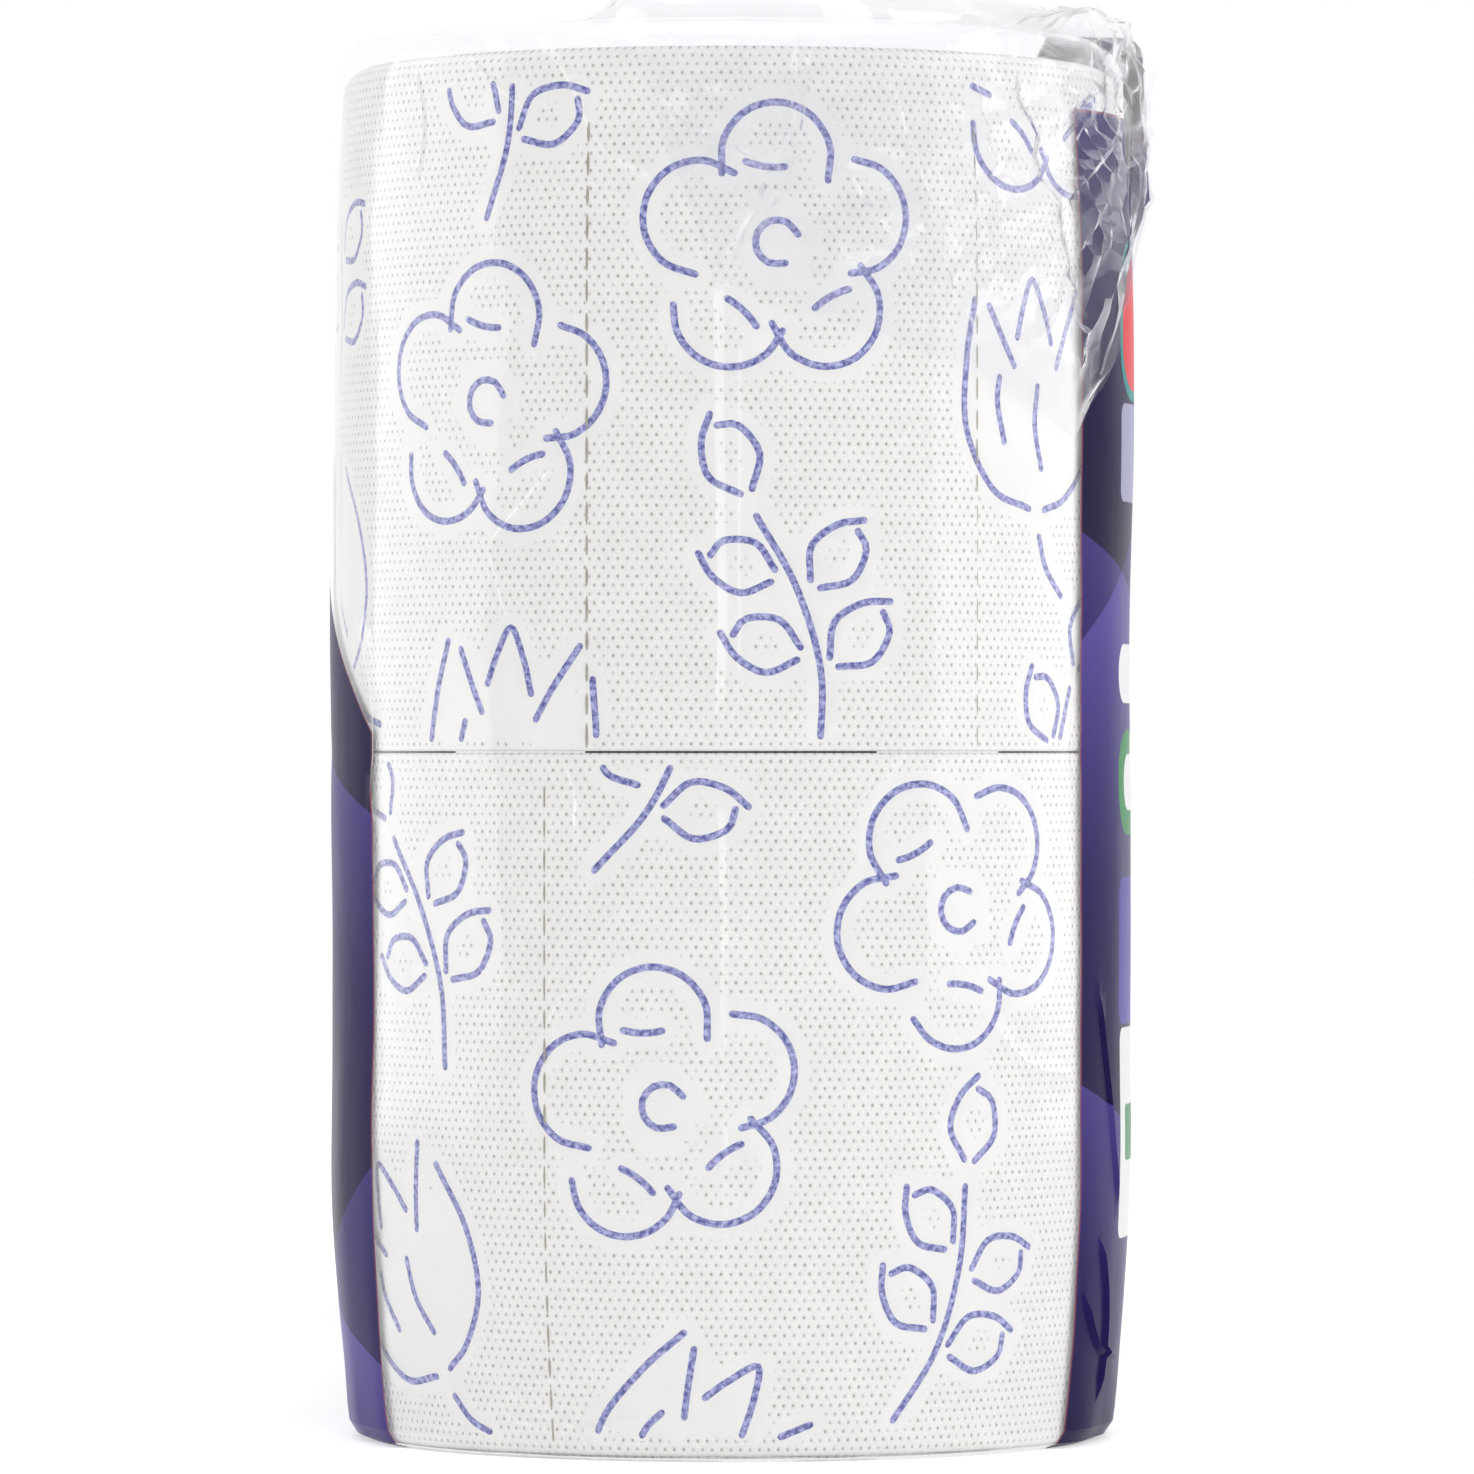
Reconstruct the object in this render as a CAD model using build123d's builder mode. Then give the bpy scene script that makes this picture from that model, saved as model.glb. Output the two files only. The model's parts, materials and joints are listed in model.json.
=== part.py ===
"""A pack of toilet paper: upright rolls in two layers, one roll deep, in a film bag.

The rolls stand in a row along Y. Each is a soft wound roll on a cardboard core tube. The film bag
is drawn tight round them, so the outermost edges of the rolls are rounded and pulled in. Its top
seal is a fin, folded down over the +X face. Z is up, and the origin is the middle of the base.
All sizes are in millimetres.
"""

import os

from build123d import *

# The rolls
roll_diameter = 114.0
sheet_width = 98.0
core_diameter = 42.0
core_wall = 0.6
rolls_in_row = 4
layers = 2
roll_gap = 0.3

# How the tight film shapes the outermost edges of the stack
base_draw_in = 3.0
base_draw_height = 45.0
head_draw_in = 1.5
head_draw_height = 40.0
outer_edge_radius = 4.0
seam_edge_radius = 0.8

# The film bag
film_wall = 0.3
film_clearance = 0.3
head_slack = 3.0
fin_drop = 21.0
fin_on_top = 14.0
fin_overrun = 20.0

# Places that follow from the sizes above
roll_radius = roll_diameter / 2
core_radius = core_diameter / 2
roll_pitch = roll_diameter + roll_gap
row_half = (rolls_in_row - 1) * roll_pitch / 2
stack_base = film_wall
stack_head = stack_base + layers * sheet_width
cavity_side = roll_radius + film_clearance
cavity_head = stack_head + head_slack
cavity_corner = outer_edge_radius + film_clearance
bag_side = cavity_side + film_wall
bag_head = cavity_head + film_wall
bag_corner = cavity_corner + film_wall
fin_thickness = 2 * film_wall


def upright_plane(y):
    """The XZ plane, moved to y."""
    return Plane.XZ.offset(-y)


def half_outline(side, base, head, corner):
    """The +X half of the pack's upright section: a straight side, drawn in at its base and head."""
    foot = (side - base_draw_in, base)
    crown = (side - head_draw_in, head)
    low_waist = (side, base + base_draw_height)
    high_waist = (side, head - head_draw_height)
    with BuildSketch(mode=Mode.PRIVATE) as half:
        with BuildLine():
            Polyline(crown, (0, head), (0, base), foot)
            TangentArc(low_waist, foot, tangent=(0, -1))
            Line(low_waist, high_waist)
            TangentArc(high_waist, crown, tangent=(0, 1))
        make_face()
        corners = [half.vertices().sort_by_distance(point)[0] for point in (foot, crown)]
        fillet(corners, corner)
    return half.sketch


def fill_envelope(side, base, head, corner, mode=Mode.ADD):
    """Fills or cuts the space round the whole row: its straight run and its two round ends."""
    with BuildSketch(Plane.XZ) as straight_section:
        add(half_outline(side, base, head, corner))
        mirror(about=Plane.YZ)
    extrude(straight_section.sketch, amount=row_half, both=True, mode=mode)
    for y in (-row_half, row_half):
        with BuildSketch(upright_plane(y)) as end_section:
            add(half_outline(side, base, head, corner))
        revolve(end_section.sketch, axis=Axis((0, y, 0), (0, 0, 1)), mode=mode)


def write_piece(piece, name):
    """Labels a finished piece and writes it as a node of that name."""
    piece.label = name
    export_step(piece, f"parts/{name}.step")


os.makedirs("parts", exist_ok=True)

# The rolls: all the turns of one roll are one solid, wound on the core and as wide as a sheet
for layer in range(layers):
    layer_base = stack_base + layer * sheet_width
    level = "lower" if layer == 0 else "upper" if layer == layers - 1 else f"middle_{layer}"
    seams = [layer_base] if layer > 0 else []
    if layer < layers - 1:
        seams.append(layer_base + sheet_width)
    for place in range(rolls_in_row):
        y = place * roll_pitch - row_half
        roll_axis = Axis((0, y, 0), (0, 0, 1))

        with BuildPart() as paper_roll:
            with BuildSketch(upright_plane(y)) as wound_section:
                add(half_outline(roll_radius, stack_base, stack_head, outer_edge_radius))
                with Locations(((core_radius + roll_radius) / 2, layer_base + sheet_width / 2)):
                    Rectangle(roll_radius - core_radius, sheet_width, mode=Mode.INTERSECT)
                for seam in seams:
                    fillet(wound_section.vertices().sort_by_distance((roll_radius, seam))[0], seam_edge_radius)
            revolve(axis=roll_axis)
        write_piece(paper_roll.part, f"{level}_paper_roll_{place + 1}")

        with BuildPart() as core_tube:
            with BuildSketch(Plane.XY.offset(layer_base)):
                with Locations((0, y)):
                    Circle(core_radius)
                    Circle(core_radius - core_wall, mode=Mode.SUBTRACT)
            extrude(amount=sheet_width)
        write_piece(core_tube.part, f"{level}_core_tube_{place + 1}")

# The film bag: one closed skin, with the fin of its top seal folded over the +X top edge
with BuildPart() as film_bag:
    fill_envelope(bag_side, 0, bag_head, bag_corner)
    with BuildSketch(Plane.XZ):
        add(half_outline(bag_side + fin_thickness, 0, bag_head + fin_thickness, bag_corner + fin_thickness))
        add(half_outline(bag_side, 0, bag_head, bag_corner), mode=Mode.SUBTRACT)
        with Locations((bag_side + fin_thickness, bag_head + fin_thickness)):
            Rectangle(2 * fin_on_top, 2 * fin_drop, mode=Mode.INTERSECT)
    extrude(amount=row_half + fin_overrun, both=True)
    fill_envelope(cavity_side, stack_base, cavity_head, cavity_corner, mode=Mode.SUBTRACT)
write_piece(film_bag.part, "film_bag")
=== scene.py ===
import json
import math

import bmesh
import bpy
import numpy as np
from mathutils import Matrix, Vector, kdtree, noise
from mathutils.geometry import delaunay_2d_cdt

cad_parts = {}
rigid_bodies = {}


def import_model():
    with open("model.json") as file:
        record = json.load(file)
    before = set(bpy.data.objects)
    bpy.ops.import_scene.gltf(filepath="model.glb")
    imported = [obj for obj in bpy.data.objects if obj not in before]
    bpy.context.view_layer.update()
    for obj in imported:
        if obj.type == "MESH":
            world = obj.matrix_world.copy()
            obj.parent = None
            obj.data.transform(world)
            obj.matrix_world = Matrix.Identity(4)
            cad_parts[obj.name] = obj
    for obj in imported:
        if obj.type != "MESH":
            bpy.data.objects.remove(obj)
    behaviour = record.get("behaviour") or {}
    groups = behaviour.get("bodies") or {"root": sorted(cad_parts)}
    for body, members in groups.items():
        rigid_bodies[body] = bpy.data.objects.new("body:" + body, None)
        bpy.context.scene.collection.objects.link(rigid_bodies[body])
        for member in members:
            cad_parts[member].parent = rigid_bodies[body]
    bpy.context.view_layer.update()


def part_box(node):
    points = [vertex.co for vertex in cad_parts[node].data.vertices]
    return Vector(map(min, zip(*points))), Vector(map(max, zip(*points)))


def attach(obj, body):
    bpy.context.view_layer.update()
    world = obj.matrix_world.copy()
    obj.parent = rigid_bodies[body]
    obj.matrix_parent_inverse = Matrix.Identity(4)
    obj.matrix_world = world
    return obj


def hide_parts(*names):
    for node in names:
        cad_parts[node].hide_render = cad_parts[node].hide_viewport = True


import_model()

# ---------------------------------------------------------------------------------------------
# Core tubes. Each roll is wound on a tube of grey-brown recycled card, two plies of paper wound
# in a spiral round a mandrel, glued, and cut off as long as the sheet is wide. The butt joint of
# the outer ply runs round the tube as a slight step.
# ---------------------------------------------------------------------------------------------

MM = 0.001
ROLLS = 4
LAYERS = ("lower", "upper")

tube_low, tube_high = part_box("lower_core_tube_1")
core_radius = (tube_high.x - tube_low.x) / 2
sheet_width = tube_high.z - tube_low.z
core_wall = 0.6 * MM
ply_step = 0.12 * MM
ply_pitch = 62 * MM


def colour(code):
    """An sRGB hex colour as linear red, green, blue and alpha."""
    parts = [int(code[i : i + 2], 16) / 255 for i in (1, 3, 5)]
    return (*[c / 12.92 if c <= 0.04045 else ((c + 0.055) / 1.055) ** 2.4 for c in parts], 1.0)


def add(tree, kind, inputs=(), **settings):
    """Adds a node with its settings. Its inputs come in order, or by name or number, as values or links."""
    node = tree.nodes.new(kind)
    for name, value in settings.items():
        setattr(node, name, value)
    for key, value in inputs.items() if isinstance(inputs, dict) else enumerate(inputs):
        if isinstance(value, bpy.types.Node):
            value = value.outputs[0]
        if isinstance(value, bpy.types.NodeSocket):
            tree.links.new(value, node.inputs[key])
        elif value is not None:
            node.inputs[key].default_value = value
    return node


def blank_material(name):
    """A material with an empty node tree, and the tree."""
    material = bpy.data.materials.new(name)
    material.use_nodes = True
    material.node_tree.nodes.clear()
    return material, material.node_tree


def ring_faces(rows, columns, start=0, round_rows=False):
    """Quads between rings of points. Each ring closes on itself, and the last joins the first if asked."""
    faces = []
    for row in range(rows if round_rows else rows - 1):
        below, above = start + row * columns, start + (row + 1) % rows * columns
        for k in range(columns):
            nxt = (k + 1) % columns
            faces.append((below + k, below + nxt, above + nxt, above + k))
    return faces


def closed_piece(name, points, faces, uvs, materials, face_materials=None, numbers=None, sharp=None):
    """A smooth mesh piece, its doubles merged and its faces turned outwards.
    uvs are per point, or per face corner."""
    mesh = bpy.data.meshes.new(name)
    mesh.from_pydata([tuple(p) for p in points], [], faces)
    layer = mesh.uv_layers.new(name="surface")
    corner_points = np.empty(len(mesh.loops), np.int32)
    mesh.loops.foreach_get("vertex_index", corner_points)
    flat = np.asarray(uvs, np.float32)
    layer.data.foreach_set("uv", (flat[corner_points] if len(flat) == len(points) else flat).ravel())
    for material in materials:
        mesh.materials.append(material)
    if face_materials is not None:
        mesh.polygons.foreach_set("material_index", np.asarray(face_materials, np.int32))
    for key, values in (numbers or {}).items():
        mesh.attributes.new(key, "FLOAT", "POINT").data.foreach_set("value", np.asarray(values, np.float32))
    work = bmesh.new()
    work.from_mesh(mesh)
    bmesh.ops.remove_doubles(work, verts=work.verts, dist=0.004 * MM)
    bmesh.ops.dissolve_degenerate(work, edges=work.edges, dist=0.002 * MM)
    bmesh.ops.recalc_face_normals(work, faces=work.faces)
    for face in work.faces:
        face.smooth = True
    if sharp:
        for edge in work.edges:
            if len(edge.link_faces) == 2 and edge.calc_face_angle(0) > sharp:
                edge.smooth = False
    work.to_mesh(mesh)
    work.free()
    piece = bpy.data.objects.new(name, mesh)
    bpy.context.scene.collection.objects.link(piece)
    return piece


# Recycled card: rough and matt, mottled with fibres of several browns, with a darker line at the ply joint
card, tree = blank_material("spiral_wound_recycled_card")
place = add(tree, "ShaderNodeUVMap", uv_map="surface")
fibres = add(tree, "ShaderNodeTexNoise",
             {"Vector": add(tree, "ShaderNodeMapping", {"Vector": place, "Scale": (900, 260, 1)}),
              "Scale": 1.0, "Detail": 4.0, "Roughness": 0.65})
card_tone = add(tree, "ShaderNodeValToRGB", (fibres,))
card_tone.color_ramp.elements[0].position, card_tone.color_ramp.elements[1].position = 0.3, 0.72
card_tone.color_ramp.elements[0].color = colour("#8C7B67")
card_tone.color_ramp.elements[1].color = colour("#B7A78F")
spread = add(tree, "ShaderNodeSeparateXYZ", (place,))
along_ply = add(tree, "ShaderNodeMath", (spread.outputs["X"], spread.outputs["Y"]), operation="ADD")
ply_phase = add(tree, "ShaderNodeMath", (add(tree, "ShaderNodeMath", (along_ply, ply_pitch),
                                             operation="DIVIDE"),), operation="FRACT")
ply_joint = add(tree, "ShaderNodeMapRange", (ply_phase, 0.0, 0.012, 0.7, 1.0))
card_colour = add(tree, "ShaderNodeMix", {0: 1.0, 6: card_tone, 7: ply_joint}, data_type="RGBA",
                  blend_type="MULTIPLY")
card_bump = add(tree, "ShaderNodeBump", {"Strength": 0.35, "Distance": 0.08 * MM, "Height": fibres})
add(tree, "ShaderNodeOutputMaterial", (add(tree, "ShaderNodeBsdfPrincipled", {
    "Base Color": card_colour.outputs[2], "Roughness": 0.92, "IOR": 1.45, "Normal": card_bump}),))

for layer_name in LAYERS:
    for number in range(1, ROLLS + 1):
        node_name = f"{layer_name}_core_tube_{number}"
        low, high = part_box(node_name)
        axis_y = (low.y + high.y) / 2
        turns, steps = 96, 25
        angle = np.arange(turns) * 2 * math.pi / turns
        points, uvs = [], []
        for wall, heights in ((0.0, np.linspace(low.z, high.z, steps)),
                              (core_wall, np.linspace(high.z, low.z, steps))):
            for z in heights:
                phase = ((angle * core_radius + z) / ply_pitch) % 1.0
                radius = core_radius - wall + (-ply_step if wall == 0 else ply_step) * (1 - phase) ** 3
                points += list(zip(radius * np.cos(angle), axis_y + radius * np.sin(angle),
                                   np.full(turns, z)))
                uvs += list(zip(angle * core_radius, np.full(turns, z)))
        faces = ring_faces(2 * steps, turns, round_rows=True)
        uvs = np.array(uvs)
        corner_uvs = uvs[np.array(faces).ravel()].reshape(-1, 4, 2)
        wrapped = np.ptp(corner_uvs[:, :, 0], axis=1) > core_radius
        corner_uvs[wrapped] = np.where((corner_uvs[wrapped] < core_radius) & (np.arange(2) == 0),
                                       corner_uvs[wrapped] + np.array([2 * math.pi * core_radius, 0]),
                                       corner_uvs[wrapped])
        tube = closed_piece(f"card_tube_{layer_name}_{number}", points, faces, corner_uvs.reshape(-1, 2),
                            [card], sharp=1.0)
        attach(tube, "root")
        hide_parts(node_name)

# ---------------------------------------------------------------------------------------------
# Paper rolls. Soft three-ply tissue, about 120 turns wound on the core and sawn from a long log.
# A steel roller presses fine dots into the sheet, and a second one prints and presses open line
# drawings of blossoms, sprigs and tulips, so that each line is a coloured groove with no dots near.
# ---------------------------------------------------------------------------------------------

roll_low, roll_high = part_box("lower_paper_roll_1")
roll_radius = (roll_high.x - roll_low.x) / 2
stack_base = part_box("lower_paper_roll_1")[0].z
stack_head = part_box("upper_paper_roll_1")[1].z
foot_edge_radius, head_edge_radius = 2.2 * MM, 4.0 * MM
seam_edge_radius = 0.6 * MM
base_draw_in, base_draw_height = 3.0 * MM, 45 * MM
head_draw_in, head_draw_height = 1.5 * MM, 40 * MM
line_width = 1.0 * MM
line_depth = 0.28 * MM
line_slope = 0.22 * MM
end_gap = 0.13 * MM
drawing_pitch, drawing_row = 43 * MM, 50 * MM
dot_spacing, dot_row_spacing = 2 * math.pi * roll_radius / 260, 1.22 * MM


def drawn_in(z):
    """How far the tight film pulls the rolls in at a height, near the stack's base and head."""
    low = np.clip((stack_base + base_draw_height - z) / base_draw_height, 0, 1)
    high = np.clip((z - stack_head + head_draw_height) / head_draw_height, 0, 1)
    return base_draw_in * low**2 + head_draw_in * high**2


def edge_radii(layer):
    """The round-over at the foot and at the head of a roll in this layer, counted from 0."""
    return (foot_edge_radius if layer == 0 else seam_edge_radius,
            head_edge_radius if layer == len(LAYERS) - 1 else seam_edge_radius)


def smooth_line(knots, step):
    """A rounded line through knots, as points about a step apart."""
    knots = np.asarray(knots, float)
    ends = np.vstack([2 * knots[0] - knots[1], knots, 2 * knots[-1] - knots[-2]])
    points = []
    for a, b, c, d in zip(ends, ends[1:], ends[2:], ends[3:]):
        count = max(2, int(np.linalg.norm(c - b) / step))
        for t in np.arange(count) / count:
            points.append(0.5 * (2 * b + (c - a) * t + (2 * a - 5 * b + 4 * c - d) * t**2
                                 + (3 * b - a - 3 * c + d) * t**3))
    return np.array(points + [knots[-1]])


def arc(x, y, radius, start, end):
    """Knots on an arc, its angles in degrees."""
    angles = np.radians(np.linspace(start, end, 7))
    return np.column_stack([x + radius * np.cos(angles), y + radius * np.sin(angles)])


def ribbon(line, half_width):
    """The outline of a line with a width and round ends."""
    along = np.gradient(line, axis=0)
    along /= np.linalg.norm(along, axis=1)[:, None]
    across = np.column_stack([-along[:, 1], along[:, 0]]) * half_width
    turn = np.radians([45, 0, -45])[:, None]
    ends = [centre + half_width * (np.cos(turn) * way + np.sin(turn) * side)
            for centre, way, side in ((line[-1], along[-1], across[-1] / half_width),
                                      (line[0], -along[0], -across[0] / half_width))]
    return np.vstack([line + across, ends[0], (line - across)[::-1], ends[1]])[::-1]


def blossom():
    """Five open petals round a bare middle, with a short vein in three of them."""
    lines = []
    for petal in range(5):
        way = 90 + 72 * petal
        x, y = 11.5 * math.cos(math.radians(way)), 11.5 * math.sin(math.radians(way))
        lines.append(arc(x, y, 7.9, way - (112 if petal != 2 else 60), way + (104 if petal != 4 else 70)))
        if petal in (0, 2, 3):
            lines.append(arc(x * 1.9, y * 1.9, 11.5, way + 158, way + 186))
    lines.append(arc(0, 0, 3.1, 20, 290))
    return lines, arc(0, 0, 6.5, 0, 360)


def sprig():
    """A bent stem with pairs of leaflets, and one at its tip."""
    lines = [[(-2, -23), (1.5, -12), (1.5, 0), (-1, 11)]]
    for x, y, way, size in ((2.6, -12, 28, 13), (0.2, -9.5, 148, 12.5), (3.2, -1, 34, 12.5),
                            (-0.2, 1.8, 146, 12), (-1.2, 13.5, 98, 13)):
        turn = Matrix.Rotation(math.radians(way), 2)
        for side, reach in ((1, 1.0), (-1, 0.86)):
            leaf = [(1.2, 0.9 * side), (size * 0.4, size * 0.30 * side), (size * 0.76, size * 0.22 * side),
                    (size * reach, size * 0.01 * side)]
            lines.append([tuple(Vector((x, y)) + turn @ Vector(p)) for p in leaf])
    return lines, None


def tulip():
    """A cup of three pointed petals on a short stem, left plain inside."""
    lines = [[(-2.5, -13.5), (-9.5, -10.5), (-13.8, -2), (-13.2, 8), (-11.3, 16)],
             [(-8.8, 15), (-6.3, 10), (-4.4, 6.5)],
             [(-3.6, 10.5), (-2.2, 14.5), (0, 18.5), (2.4, 14), (3.8, 9.5)],
             [(4.8, 6), (7.2, 10.5), (11, 16.5)],
             [(13.2, 12), (14.2, 2), (11.8, -7), (6, -12.3), (0.8, -13.8)],
             [(-0.5, -17.5), (0.8, -22), (4.2, -26)],
             [(0.5, -8), (-0.6, -2), (0.3, 3.5)], [(-7, -4), (-8, 1.5), (-7.4, 5)]]
    return lines, np.array([(-11, -8), (-12.5, 2), (-10, 12), (0, 14), (10, 12), (12.5, 2), (10, -8),
                            (0, -12.5)])


def printed_lines(z_low, z_high, shift, seed):
    """The drawings round one roll, as lines and plain patches on the unrolled sheet, in metres."""
    chance = np.random.default_rng(seed)
    around = 2 * math.pi * roll_radius
    lines, patches, column = [], [], 0
    u = -around / 2 + 24 * MM + shift
    while u < around / 2 - 20 * MM:
        for row in (-1, 0, 1, 2):
            z = (z_low + z_high) / 2 + (row - 0.5 + (0.5 if column % 2 else 0)) * drawing_row
            drawing, patch = (blossom, tulip, sprig)[(column * 2 + row * (2 if column % 2 else 1)) % 3]()
            turn = Matrix.Rotation(math.radians(chance.uniform(-38, 38)), 2)
            centre = Vector((u, z)) + Vector(chance.uniform(-2.2, 2.2, 2)) * MM
            for knots in drawing:
                line = smooth_line([tuple(centre + turn @ Vector(k) * MM) for k in knots], 0.8 * MM)
                keep = (line[:, 1] > z_low + 0.9 * MM) & (line[:, 1] < z_high - 0.9
                                                          * MM) & (abs(line[:, 0]) < around / 2 - 2 * MM)
                for run in np.split(np.arange(len(line)), np.flatnonzero(np.diff(keep.astype(int))) + 1):
                    if keep[run[0]] and len(run) > 3:
                        lines.append(line[run])
            if patch is not None:
                patches.append(np.array([tuple(centre + turn @ Vector(k) * MM) for k in patch]))
        u += drawing_pitch
        column += 1
    return lines, patches


def inside(points, outline):
    """Which points lie inside an outline."""
    x, y = points[:, 0], points[:, 1]
    result = np.zeros(len(points), bool)
    for (x0, y0), (x1, y1) in zip(outline, np.roll(outline, -1, axis=0)):
        crossing = (y0 > y) != (y1 > y)
        result ^= crossing & (x < (x1 - x0) * (y - y0) / ((y1 - y0) or 1e-12) + x0)
    return result


def distance_to(lines, points, reach):
    """Each point's distance from the nearest line, up to a reach."""
    sample_step = 0.25 * MM
    samples = np.vstack([smooth_line(line, sample_step) for line in lines])
    tree = kdtree.KDTree(len(samples))
    for i, (x, y) in enumerate(samples):
        tree.insert((x, y, 0), i)
    tree.balance()
    return np.array([min(reach, tree.find((x, y, 0))[2]) for x, y in points])


def triangulated(grid, edge_loops, chains):
    """Triangles over a rectangle of grid points that follow the given loops and chains, and the loops
    around each triangle."""
    points, edges, loops = [tuple(p) for p in grid], [], []
    for loop in edge_loops:
        first = len(points)
        points += [tuple(p) for p in loop]
        loops.append(list(range(first, len(points))))
    for chain in chains:
        first = len(points)
        points += [tuple(p) for p in chain]
        edges += [(k, k + 1) for k in range(first, len(points) - 1)]
    found, _, faces, _, _, around = delaunay_2d_cdt([Vector(p) * 1000 for p in points], edges, loops, 0,
                                                    1e-4, True)
    return np.array([tuple(p) for p in found]) / 1000, [tuple(f) for f in faces], around


# Tissue: bleached white fibre, fully matt and soft, with pressed dots whose centres get a little painted
# shade
tissue, tree = blank_material("embossed_tissue")
place = add(tree, "ShaderNodeUVMap", uv_map="surface")
spread = add(tree, "ShaderNodeSeparateXYZ", (place,))
row_count = add(tree, "ShaderNodeMath", (spread.outputs["Y"], dot_row_spacing), operation="DIVIDE")
row_number = add(tree, "ShaderNodeMath", (row_count,), operation="FLOOR")
half_turn = add(tree, "ShaderNodeMath", (row_number, 0.5), operation="MULTIPLY")
column_count = add(tree, "ShaderNodeMath", (add(tree, "ShaderNodeMath", (spread.outputs["X"], dot_spacing),
                                                operation="DIVIDE"), half_turn), operation="ADD")
across_dot = add(tree, "ShaderNodeMath", (add(tree, "ShaderNodeMath", (column_count,), operation="FRACT"),
                                          0.5), operation="SUBTRACT")
along_dot = add(tree, "ShaderNodeMath", (add(tree, "ShaderNodeMath", (row_count,), operation="FRACT"), 0.5),
                operation="SUBTRACT")
from_dot = add(tree, "ShaderNodeVectorMath", (add(tree, "ShaderNodeCombineXYZ", (
    add(tree, "ShaderNodeMath", (across_dot, dot_spacing / MM), operation="MULTIPLY"),
    add(tree, "ShaderNodeMath", (along_dot, 0.82 * dot_row_spacing / MM), operation="MULTIPLY"))),),
    operation="LENGTH")
clear_of_ink = add(tree, "ShaderNodeMapRange",
                   (add(tree, "ShaderNodeAttribute", attribute_name="from_line").outputs["Fac"], 1.9, 2.7,
                    0.0, 1.0), interpolation_type="SMOOTHSTEP")
dimple = add(tree, "ShaderNodeMapRange", (from_dot.outputs["Value"], 0.12, 0.62, 1.0, 0.0),
             interpolation_type="SMOOTHSTEP")
# Painted shade: the middle of each pressed dot is darkened in the colour, standing in for shade in the
# dimple
dot_painted_shade = add(tree, "ShaderNodeMapRange", (from_dot.outputs["Value"], 0.10, 0.30, 1.0, 0.0),
          interpolation_type="SMOOTHSTEP")
uneven = add(tree, "ShaderNodeTexNoise", {"Vector": place, "Scale": 520.0, "Detail": 2.0})
pressed = add(tree, "ShaderNodeMath", (clear_of_ink, add(tree, "ShaderNodeMapRange",
                                                         (uneven, 0.3, 0.6, 0.45, 1.0))),
              operation="MULTIPLY")
dimple = add(tree, "ShaderNodeMath", (dimple, pressed), operation="MULTIPLY")
dot_painted_shade = add(tree, "ShaderNodeMath", (dot_painted_shade, pressed), operation="MULTIPLY")
fluff = add(tree, "ShaderNodeTexNoise", {"Vector": place, "Scale": 2600.0, "Detail": 5.0, "Roughness": 0.7})
cloudy = add(tree, "ShaderNodeTexNoise", {"Vector": place, "Scale": 130.0, "Detail": 3.0})
tissue_tone = add(tree, "ShaderNodeMix", {0: cloudy, 6: colour("#EBEAE6"), 7: colour("#F6F5F2")},
                  data_type="RGBA")
# The dot centres are mixed towards grey-brown: painted shade, not a stain
tissue_colour = add(tree, "ShaderNodeMix", {0: add(tree, "ShaderNodeMath", (dot_painted_shade, 0.8),
                                                   operation="MULTIPLY"), 6: tissue_tone.outputs[2],
                                            7: colour("#8F8979")}, data_type="RGBA")
relief = add(tree, "ShaderNodeMath", (add(tree, "ShaderNodeMath", (fluff, 0.12), operation="MULTIPLY"),
                                      dimple), operation="SUBTRACT")
tissue_bump = add(tree, "ShaderNodeBump", {"Strength": 0.9, "Distance": 0.16 * MM, "Height": relief})
add(tree, "ShaderNodeOutputMaterial", (add(tree, "ShaderNodeBsdfPrincipled", {
    "Base Color": tissue_colour.outputs[2], "Roughness": 0.95, "IOR": 1.4, "Specular IOR Level": 0.2,
    "Sheen Weight": 0.15, "Normal": tissue_bump}),))

# Water-based ink, pressed into the groove: periwinkle, and darker where more of it was caught by the fibres
ink, tree = blank_material("periwinkle_line_ink")
place = add(tree, "ShaderNodeUVMap", uv_map="surface")
blots = add(tree, "ShaderNodeTexNoise", {"Vector": place, "Scale": 1300.0, "Detail": 3.0, "Roughness": 0.6})
ink_tone = add(tree, "ShaderNodeValToRGB", (blots,))
ink_tone.color_ramp.elements[0].position, ink_tone.color_ramp.elements[1].position = 0.38, 0.66
ink_tone.color_ramp.elements[0].color = colour("#4A4F98")
ink_tone.color_ramp.elements[1].color = colour("#BBBDE8")
add(tree, "ShaderNodeOutputMaterial", (add(tree, "ShaderNodeBsdfPrincipled", {
    "Base Color": ink_tone, "Roughness": 0.9, "IOR": 1.4, "Specular IOR Level": 0.2,
    "Normal": add(tree, "ShaderNodeBump", {"Strength": 0.5, "Distance": 0.05 * MM, "Height": blots})}),))

# Sawn ends: the edges of the turns, 0.55 mm apart, seen as fine rings between white plies, with painted
# grey shade in the gaps
sawn_ends, tree = blank_material("sawn_tissue_edges")
place = add(tree, "ShaderNodeUVMap", uv_map="surface")
spread = add(tree, "ShaderNodeSeparateXYZ", (place,))
wander = add(tree, "ShaderNodeTexNoise",
             {"Vector": add(tree, "ShaderNodeMapping", {"Vector": place, "Scale": (40, 240, 1)}),
              "Scale": 1.0, "Detail": 2.0})
turn_share = add(tree, "ShaderNodeMath", (spread.outputs["X"], 2 * math.pi * roll_radius),
                 operation="DIVIDE")
turn_count = add(tree, "ShaderNodeMath", (add(tree, "ShaderNodeMath", (spread.outputs["Y"], 0.55 * MM),
                                              operation="DIVIDE"), turn_share), operation="ADD")
turn_count = add(tree, "ShaderNodeMath", (turn_count, add(tree, "ShaderNodeMath", (wander, 3.0),
                                                          operation="MULTIPLY")), operation="ADD")
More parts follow.
